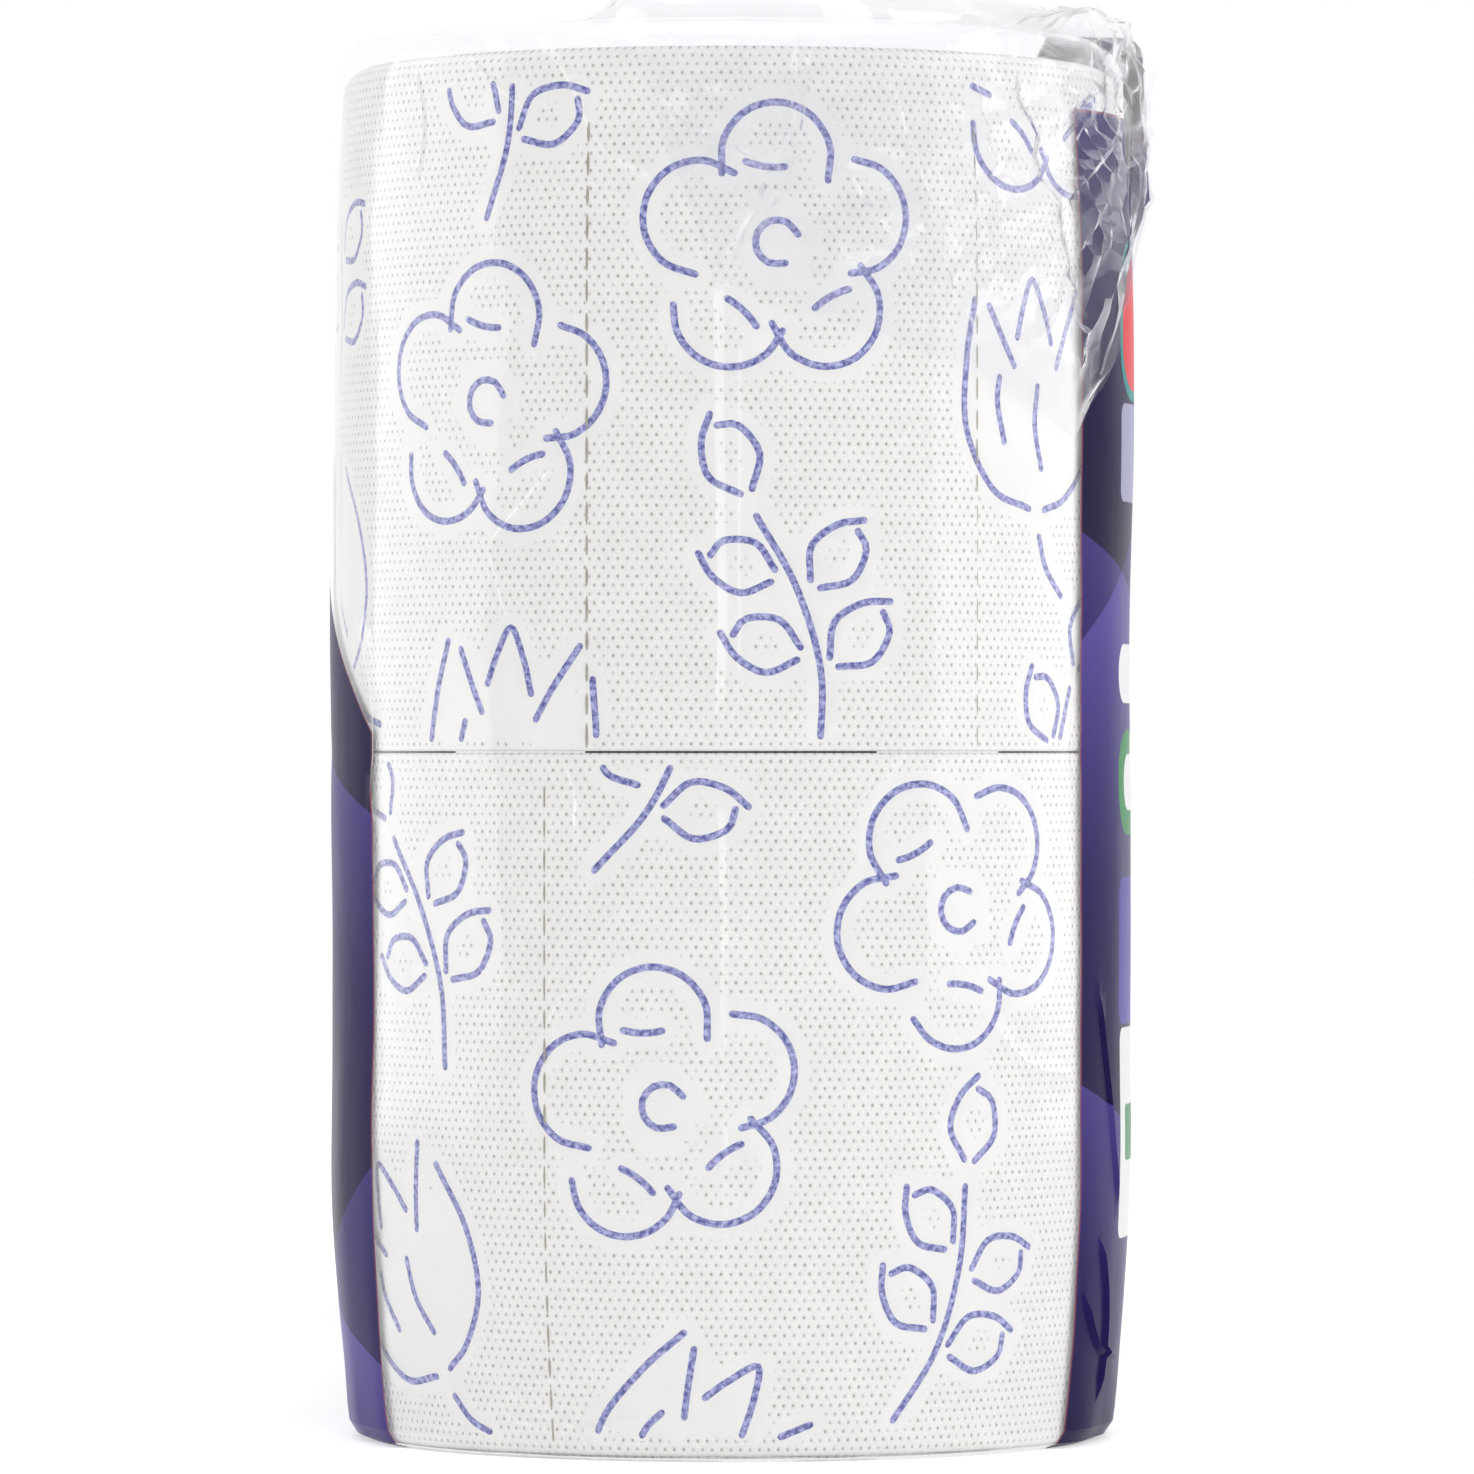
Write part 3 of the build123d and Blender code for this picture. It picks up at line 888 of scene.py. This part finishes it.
printed = add(tree, "ShaderNodeBsdfPrincipled", {"Base Color": print_colour, "Roughness": 0.28, "IOR": 1.3,
                                                 "Specular IOR Level": 0.08,
                                                 "Normal": add(tree, "ShaderNodeBump",
                                                     {"Strength": 0.3, "Distance": 0.15 * MM,
                                                      "Height": drag})})
add(tree, "ShaderNodeOutputMaterial",
    (add(tree, "ShaderNodeMixShader", {0: inked, 1: add(tree, "ShaderNodeGroup", node_tree=clear_tree),
                                       2: printed}),))

# Folds in the wall: the lap seam down the middle of each end, pulls from the top corners, and slack at the
# foot
wall_creases = [
    crease([(-1.4, 166), (-1.7, 150), (-1.2, 120), (-1.5, 99)], 0.7, 0.5, 0.25, 1),
    crease([(-1.4, 97), (-1.0, 70), (-0.9, 40), (-0.6, 20), (-0.7, 6)], 0.5, 0.34, 0.5, 2),
    crease([(1.2, 160), (0.9, 130), (0.8, 104)], 0.5, 0.2, 0.2, 3),
    crease([(-30, 199), (-24, 192), (-17, 181), (-8, 176)], 0.6, 0.3, 0.6, 4),
    crease([(-42, 196), (-34, 190), (-29, 187)], 0.5, 0.24, 0.4, 5),
    crease([(-52, 194), (-50, 186), (-51, 178)], 0.6, 0.22, 0.5, 6),
    crease([(-36, 127), (-31, 132), (-25, 138)], 0.5, 0.26, 0.5, 7),
    crease([(-36, 127), (-34, 121), (-33, 117)], 0.5, 0.2, 0.5, 8),
    crease([(-23, 97), (-21.5, 92), (-22, 87)], 0.6, 0.24, 0.4, 9),
    crease([(-11, 82), (-18, 73), (-27, 58)], 0.8, 0.16, 0.8, 10),
    crease([(-36, 6.5), (-26, 4.5), (-12, 6)], 0.9, 0.34, 0.6, 11),
    crease([(-30, 10), (-24, 5), (-20, 2)], 0.6, 0.3, 0.4, 12),
    crease([(64, 66), (69, 50), (74, 32)], 1.0, 0.3, 0.8, 13),
    crease([(61, 22), (68, 14), (80, 12)], 0.9, 0.45, 0.8, 14),
    crease([(66, 30), (71, 18), (70, 6)], 0.8, 0.4, 0.8, 15),
    crease([(26, 101), (20, 92), (17, 80)], 0.7, 0.12, 0.6, 16),
    crease([(38, 62), (46, 55), (57, 52)], 0.8, 0.14, 0.8, 17),
    crease([(-66, 120), (-61, 104), (-62, 88)], 1.0, 0.18, 0.8, 18),
]
half_round = bag_around / 2 / MM
wall_creases += [crease([(half_round - 8, 170), (half_round - 7.2, 120), (half_round - 8.2, 60),
                         (half_round - 7.6, 5)], 0.7, 0.38, 0.4, 21),
                 crease([(-half_round + 20, 196), (-half_round + 34, 176), (-half_round + 40, 150)], 0.8,
                        0.3, 0.8, 22),
                 crease([(half_round - 52, 192), (half_round - 30, 170), (half_round - 16, 162)], 0.8, 0.34,
                        0.8, 23),
                 crease([(-half_round + 30, 40), (-half_round + 44, 22), (-half_round + 60, 12)], 0.9, 0.3,
                        0.8, 24)]
for k, (u, low_z, high_z) in enumerate(((148, 20, 60), (262, 130, 182), (376, 15, 48), (-150, 140, 186),
                                        (-265, 12, 50), (-378, 120, 170))):
    wall_creases.append(crease([(u, high_z), (u + 5, (low_z + high_z) / 2), (u + 1, low_z)], 1.6, 0.35, 1.2,
                               30 + k))

film_step = 1.7 * MM
end_reach = end_arc + 8 * MM
fine = np.arange(-end_reach, end_reach, film_step)
coarse = np.linspace(end_reach, bag_around / 2 - end_reach, 60)
far_half = np.linspace(bag_around / 2 - end_reach, bag_around / 2, 58)[1:]
u_places = np.concatenate([-far_half[::-1], -coarse[::-1][:-1], fine, coarse, far_half])
v_places = np.concatenate([[v_low], np.linspace(v_low, bag_head - 14 * MM, 92)[1:-1],
                           np.linspace(bag_head - 14 * MM, v_high, 14)])
grid = np.array([(u, v) for v in v_places for u in u_places])
rim = (grid[:, 1] < v_low + 1e-7) | (grid[:, 1] > v_high - 1e-7) | (abs(grid[:, 0]) > bag_around / 2 - 1e-7)
grid = grid[rim | kept_clear(grid, wall_creases, 0.5 * MM)]
flat, wall_faces, _ = triangulated(grid, [], crease_chains(wall_creases))
flat = np.column_stack([np.clip(flat[:, 0], -bag_around / 2, bag_around / 2),
                        np.clip(flat[:, 1], v_low, v_high)])
base_points = bag_place(flat[:, 0], flat[:, 1], 0.0)
beside_end = np.clip((abs(flat[:, 0]) - end_arc) / (40 * MM), 0,
                     1) * np.clip((bag_around / 2 - end_arc - abs(flat[:, 0])) / (40 * MM), 0, 1)
between = np.sin(math.pi * (base_points[:, 1] - end_axis) / roll_pitch) ** 2
upright = np.clip((flat[:, 1] - 8 * MM) / (20 * MM), 0,
                  1) * np.clip((bag_head - 10 * MM - flat[:, 1]) / (20 * MM), 0, 1)
streaks = ruffle(base_points, (42, 42, 9), 1)
pulls = ruffle(base_points, (16, 16, 22), 2)
slack = ruffle(base_points, (60, 60, 34), 3)
loose = np.clip((flat[:, 1] - 186 * MM) / (10 * MM), 0,
                1) + 0.8 * np.clip((14 * MM - flat[:, 1]) / (10 * MM), 0, 1)
out = (-1.7 * MM * between * beside_end * upright + 0.45 * MM * streaks + 0.38 * MM * pulls + 0.5 * MM
       * slack * loose
       + 0.25 * MM * np.abs(slack) * (0.2 + loose) - 0.12 * MM
       * np.exp(-(((flat[:, 1] - 98.3 * MM) / (2.2 * MM)) ** 2)))
out = np.maximum(out, np.where(beside_end > 0.05, -2.2 * MM, -0.28 * MM))
out += creased(flat, wall_creases)
out[flat[:, 1] < v_low + 1e-7] = 0
wall_points = bag_place(flat[:, 0], flat[:, 1], out)

# The top sheet lies loose over the upper rolls, and the bottom sheet is flat under the pack
ends = []
for edge, level in ((v_high, "top"), (v_low, "bottom")):
    ring = np.flatnonzero(abs(flat[:, 1] - edge) < 1e-7)
    ring = ring[np.argsort(flat[ring, 0])][:-1]
    outline = wall_points[ring][:, :2]
    step = (2.6 if level == "top" else 7.0) * MM
    xs, ys = np.arange(-bag_side, bag_side, step), np.arange(-bag_high.y, bag_high.y, step)
    grid = np.array([(x + (step / 2 if j % 2 else 0), y) for j, y in enumerate(ys) for x in xs])
    grid = grid[inside(grid, outline)]
    nearest = np.array([np.min(np.hypot(*(outline - g).T)) for g in grid])
    grid = grid[nearest > step * 0.55]
    if level == "top":
        folds = []
        for way in (-1, 1):
            y = way * end_axis / MM
            folds += [crease([(-44, y + way * 24), (-26, y + way * 8), (-8, y - way * 10),
                              (6, y - way * 30)], 1.1, 0.8, 0.8, 50 + way),
                      crease([(40, y + way * 26), (26, y + way * 14), (14, y - way * 4), (8, y - way * 30)],
                             1.1, 0.7, 0.8, 53 + way),
                      crease([(-10, y + way * 44), (-6, y + way * 30), (-12, y + way * 14)], 0.9, 0.5, 0.8,
                             56 + way),
                      crease([(14, y + way * 42), (10, y + way * 26), (16, y + way * 10)], 0.9, 0.5, 0.8,
                             59 + way)]
        folds += [crease([(8, -end_axis / MM + 34), (9, -60), (7, 0), (9, 60), (8, end_axis / MM - 34)],
                         1.2, 0.6, 1.0, 62),
                  crease([(-36, -120), (-10, -106), (20, -112)], 1.0, 0.4, 1.0, 63),
                  crease([(-40, 20), (-12, 6), (22, 12)], 1.0, 0.4, 1.0, 64),
                  crease([(-30, 128), (-4, 112), (26, 118)], 1.0, 0.4, 1.0, 65)]
        grid = grid[kept_clear(grid, folds, 0.7 * MM)]
    else:
        folds = []
    sheet, faces, _ = triangulated(grid, [outline], crease_chains(folds))
    rim_gap = np.array([np.min(np.hypot(*(outline - p).T)) for p in sheet])
    tied = rim_gap < 1e-6
    at_rim = np.array([wall_points[ring][np.argmin(np.hypot(*(outline - p).T)), 2] for p in sheet])
    if level == "top":
        sheet3 = np.column_stack([sheet, np.zeros(len(sheet))])
        waves = ruffle(sheet3, (26, 12, 1), 6) * 0.75 * MM + ruffle(sheet3, (60, 46, 1), 7) * 0.3 * MM
        inner = np.clip(rim_gap / (12 * MM), 0, 1)
        z = at_rim + (inner**2 * (3 - 2 * inner)) * (-1.7 * MM + waves) + creased(sheet,
            folds) * np.clip(rim_gap / (3 * MM), 0, 1)
        z = np.maximum(z, stack_head + 0.5 * MM)
    else:
        z = np.where(tied, at_rim, 0.0)
    z[tied] = at_rim[tied]
    ends.append((np.column_stack([sheet, z]), faces))

points, faces, uvs = [wall_points], list(wall_faces), [flat]
for sheet_points, sheet_faces in ends:
    start = sum(len(p) for p in points)
    points.append(sheet_points)
    faces += [tuple(start + k for k in face) for face in sheet_faces]
    # No print reaches the two sheets: their second coordinate is above or below all of it
    beyond = np.where(sheet_points[:, 2] > bag_head / 2, 1.0, -1.0)
    uvs.append(np.column_stack([sheet_points[:, 0], beyond]))
bag = closed_piece("film_bag_skin", np.vstack(points), faces, np.vstack(uvs), [printed_film], sharp=0.4)
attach(bag, "root")
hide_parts("film_bag")

# ---------------------------------------------------------------------------------------------
# Top seal. The bag's mouth is welded shut along its length. The weld stands up as a fin of two
# films and is folded down over the +X edge. At each end of the pack the spare film of the gusset
# ends in an ear, which is folded down on the round end.
# ---------------------------------------------------------------------------------------------

fin_drop, fin_on_top = 21 * MM, 14 * MM
fin_reach = end_axis + 4.8 * MM
fin_furthest = 60.4 * MM
fin_rows, fin_columns = 26, 190
folded_film = 0.3 * MM
ear_straight = math.radians(70) * bag_side
ear_end = ear_straight + 15.8 * MM


def walled(name, points, faces, uvs, thickness, material):
    """A thin closed sheet: the points and their copies along the normals, joined round the edge."""
    mesh = bpy.data.meshes.new(name)
    mesh.from_pydata([tuple(p) for p in points], [], faces)
    work = bmesh.new()
    work.from_mesh(mesh)
    bmesh.ops.recalc_face_normals(work, faces=work.faces)
    work.normal_update()
    normals = np.array([tuple(v.normal) for v in work.verts])
    rim_edges = [tuple(v.index for v in e.verts) for e in work.edges if e.is_boundary]
    work.free()
    count = len(points)
    both = np.vstack([points, points - normals * thickness])
    all_faces = list(faces) + [tuple(k + count for k in face[::-1]) for face in faces] + [(a, b, b + count,
        a + count) for a, b in rim_edges]
    return closed_piece(name, both, all_faces, np.vstack([uvs, uvs]), [material], sharp=0.6)


def ear_points(flat, folds, seed, mirrored):
    """The ear on one round end. flat is its place on the unrolled wall."""
    base = bag_place(flat[:, 0], flat[:, 1], 0.0, ear_straight)
    hem = np.clip(edge_distance(flat, ear_outline) / (7 * MM), 0, 1)
    hem = hem**2 * (3 - 2 * hem)
    # Pleats run from the welded corner down to the ear's tip and lower edge
    corner = np.array([ear_end, bag_head])
    way = np.arctan2(corner[1] - flat[:, 1], corner[0] - flat[:, 0])
    fan = np.array([noise.fractal((w * 8.0 + seed, d * 16, seed * 3.1), 0.7, 2.2, 3) for w,
                    d in zip(way, np.hypot(*(flat - corner).T))])
    waves = ruffle(base, (52, 52, 30), seed + 2)
    lift = (0.7 + 2.0 * hem) * MM + 3.4 * MM * np.abs(fan) * hem + 1.5 * MM * waves * hem
    lift = np.maximum(lift, 0.5 * MM) + creased(flat, folds)
    points = bag_place(flat[:, 0], flat[:, 1], lift, ear_straight)
    if mirrored:
        points[:, 1] *= -1
    return points


def edge_distance(points, outline):
    """Each point's distance from an outline."""
    best = np.full(len(points), 1.0)
    for a, b in zip(outline, np.roll(outline, -1, axis=0)):
        way = b - a
        share = np.clip(((points - a) @ way) / (way @ way), 0, 1)
        best = np.minimum(best, np.linalg.norm(points - a - share[:, None] * way, axis=1))
    return best


for mirrored, seed in ((False, 3), (True, 8)):
    ear_outline = np.array([(-27, v_high / MM + 5), (-20.5, 199.5), (-10.8, 189.5), (-9.6, 183),
                            (-4.8, 172), (-2.2, 163.4), (20, 156.5), (40, 149.5),
                            (56.4, 142.6), (64, 151), (76, 167), (ear_end / MM, 179),
                            (ear_end / MM, v_high / MM + 5)]) * MM
    hem_line = np.vstack([np.linspace(a, b, max(2, int(np.linalg.norm(b - a) / (1.4 * MM))),
                                      endpoint=False) for a, b in zip(ear_outline,
                                          np.roll(ear_outline, -1, axis=0))])
    folds = [crease([(9, 198), (8.2, 190), (5.4, 178), (-1.2, 164.5)], 0.7, 0.9, 0.5, seed),
             crease([(10.4, 198), (9.6, 188), (7.4, 177), (1, 166)], 0.5, 0.7, 0.5, seed + 1),
             crease([(-11, 189), (-4, 184), (2, 180), (6, 175)], 0.8, 0.8, 0.8, seed + 2),
             crease([(-9.6, 186), (-5, 176), (-2.4, 166)], 0.6, 0.5, 0.4, seed + 3),
             crease([(21, 192), (23, 184), (27, 172), (30, 158)], 1.0, 0.9, 1.2, seed + 4),
             crease([(12, 182), (18, 172), (28, 161), (35, 154)], 0.9, 0.8, 1.0, seed + 5),
             crease([(84, 199), (74, 186), (64, 166), (57.5, 147)], 1.2, 1.2, 0.8, seed + 6),
             crease([(84, 181), (76, 172), (66, 157), (58, 146)], 0.8, 0.9, 0.4, seed + 7),
             crease([(40, 196), (43, 184), (50, 168), (54, 152)], 1.0, 0.9, 1.2, seed + 8),
             crease([(62, 197), (63, 188), (66, 180)], 0.9, 0.7, 0.8, seed + 9),
             crease([(33, 194), (36, 180), (38, 170)], 0.9, 0.6, 1.0, seed + 10)]
    step = 1.5 * MM
    us, vs = np.arange(-28 * MM, ear_end, step), np.arange(141 * MM, v_high + 6 * MM, step)
    grid = np.array([(u + (step / 2 if j % 2 else 0), v) for j, v in enumerate(vs) for u in us])
    grid = grid[inside(grid, ear_outline)]
    grid = grid[edge_distance(grid, ear_outline) > 0.8 * MM]
    grid = grid[kept_clear(grid, folds, 0.4 * MM)]
    flat, faces, owners = triangulated(grid, [hem_line], crease_chains(folds))
    faces = [face for face, loops in zip(faces, owners) if loops]
    used = np.unique(np.concatenate([np.array(f) for f in faces]))
    renumber = {int(k): i for i, k in enumerate(used)}
    flat = flat[used]
    faces = [tuple(renumber[k] for k in face) for face in faces]
    ear = walled(f"film_ear_{'far' if mirrored else 'near'}", ear_points(flat, folds, seed, mirrored),
                 faces, flat, folded_film, clear_film)
    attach(ear, "root")

# The fin, from its root on the top sheet, over the edge and down
across = np.linspace(0, fin_on_top + fin_drop + 1.5 * MM, fin_rows)
lengths = np.linspace(-fin_reach, fin_reach, fin_columns)
fin_points, fin_uvs = [], []
for y in lengths:
    sway = noise.noise((y * 21, 3.1, 0)) * 0.9 + noise.noise((y * 60, 9.2, 0)) * 0.35
    for w in across:
        over = np.clip((w - fin_on_top + 3 * MM) / (5 * MM), 0, 1) * math.pi / 2
        on_top = min(w, fin_on_top - 3 * MM)
        down = max(0.0, w - fin_on_top - 2 * MM)
        share = down / fin_drop
        ripple = noise.noise((y * 44, w * 50, 5.0)) * 0.5
        x = bag_side - fin_on_top + 1.4 * MM + on_top + 3.2 * MM * math.sin(over) + (0.5 + ripple + sway
            * share) * MM * (0.3 + share)
        z = bag_head + 0.7 * MM - 3.2 * MM * (1 - math.cos(over)) - down + (0.25 * ripple + 0.2) * MM * (1
            - share) + 0.5 * sway * MM * share
        fin_points.append((min(x, fin_furthest), y, z))
        fin_uvs.append((y, w))
fin_faces = [(k, k + 1, k + fin_rows + 1, k + fin_rows) for j in range(fin_columns - 1)
             for k in range(j * fin_rows, (j + 1) * fin_rows - 1)]
fin = walled("film_seal_fin", np.array(fin_points), fin_faces, np.array(fin_uvs), folded_film, clear_film)
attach(fin, "root")

# ---------------------------------------------------------------------------------------------
# Studio: a pale floor and background, soft light from both sides, above and the front, and a
# camera level with the joint of the two layers, square to the round end at -Y.
# ---------------------------------------------------------------------------------------------

floor_paint, tree = blank_material("pale_matt_floor")
grain = add(tree, "ShaderNodeTexNoise", {"Vector": add(tree, "ShaderNodeTexCoord").outputs["Object"],
                                         "Scale": 90.0, "Detail": 3.0})
floor_tone = add(tree, "ShaderNodeMix", {0: grain, 6: colour("#FBFBFB"), 7: colour("#FFFFFF")},
                 data_type="RGBA")
path = add(tree, "ShaderNodeLightPath")
seen = add(tree, "ShaderNodeMath", (path.outputs["Is Camera Ray"], path.outputs["Is Glossy Ray"]),
           operation="MAXIMUM")
seen = add(tree, "ShaderNodeMath", (seen, path.outputs["Is Transmission Ray"]), operation="MAXIMUM")
matt = add(tree, "ShaderNodeBsdfPrincipled", {"Base Color": floor_tone.outputs[2], "Roughness": 0.9,
                                              "Specular IOR Level": 0.1})
lifted = add(tree, "ShaderNodeAddShader",
             (matt, add(tree, "ShaderNodeEmission", {"Color": (1, 1, 1, 1), "Strength": 0.5})))
add(tree, "ShaderNodeOutputMaterial", (add(tree, "ShaderNodeMixShader", {0: seen, 1: matt, 2: lifted}),))
floor_mesh = bpy.data.meshes.new("studio_floor")
floor_mesh.from_pydata([(-6, -6, 0), (6, -6, 0), (6, 6, 0), (-6, 6, 0)], [], [(0, 1, 2, 3)])
floor_mesh.materials.append(floor_paint)
floor = bpy.data.objects.new("studio_floor", floor_mesh)
bpy.context.scene.collection.objects.link(floor)

world = bpy.data.worlds.new("pale_studio")
bpy.context.scene.world = world
world.use_nodes = True
world.node_tree.nodes.clear()
path = add(world.node_tree, "ShaderNodeLightPath")
seen = add(world.node_tree, "ShaderNodeMath",
           (path.outputs["Is Camera Ray"], path.outputs["Is Glossy Ray"]), operation="MAXIMUM")
seen = add(world.node_tree, "ShaderNodeMath", (seen, path.outputs["Is Transmission Ray"]),
           operation="MAXIMUM")
dim = add(world.node_tree, "ShaderNodeBackground", {"Color": (1, 1, 1, 1), "Strength": 0.5})
bright = add(world.node_tree, "ShaderNodeBackground", {"Color": (1, 1, 1, 1), "Strength": 1.0})
add(world.node_tree, "ShaderNodeOutputWorld",
    (add(world.node_tree, "ShaderNodeMixShader", {0: seen, 1: dim, 2: bright}),))


def softbox(name, place, aim, width, height, power, in_gloss=True):
    """A soft studio light. It isn't seen by the camera itself."""
    lamp = bpy.data.lights.new(name, "AREA")
    lamp.shape, lamp.size, lamp.size_y, lamp.energy = "RECTANGLE", width, height, power
    light = bpy.data.objects.new(name, lamp)
    light.matrix_world = Matrix.Translation(place) @ (Vector(place) - Vector(aim)).to_track_quat("Z",
        "Y").to_matrix().to_4x4()
    light.visible_camera = False
    light.visible_glossy = in_gloss
    bpy.context.scene.collection.objects.link(light)


near_middle = Vector((0, -end_axis, bag_head / 2))
softbox("softbox_left", near_middle + Vector((-1.6, 0.15, 0.1)), near_middle, 1.5, 1.7, 10)
softbox("softbox_right", near_middle + Vector((1.6, -0.08, 0.15)), near_middle, 1.7, 1.5, 10)
softbox("softbox_top", near_middle + Vector((0.1, 0.2, 1.7)), near_middle, 1.4, 1.4, 9)
softbox("softbox_front", near_middle + Vector((0.3, -2.6, 0.7)), near_middle, 1.6, 1.4, 20, in_gloss=False)

camera_data = bpy.data.cameras.new("camera")
camera_data.lens, camera_data.sensor_width = 230.3, 36.0
camera_data.shift_x, camera_data.shift_y = 0.0041, 0.0102
camera = bpy.data.objects.new("camera", camera_data)
camera.location = (0, -end_axis - 1.3576, 98.3 * MM)
camera.rotation_euler = (math.pi / 2, 0, 0)
bpy.context.scene.collection.objects.link(camera)
bpy.context.scene.camera = camera
bpy.context.scene.view_settings.view_transform = "Standard"
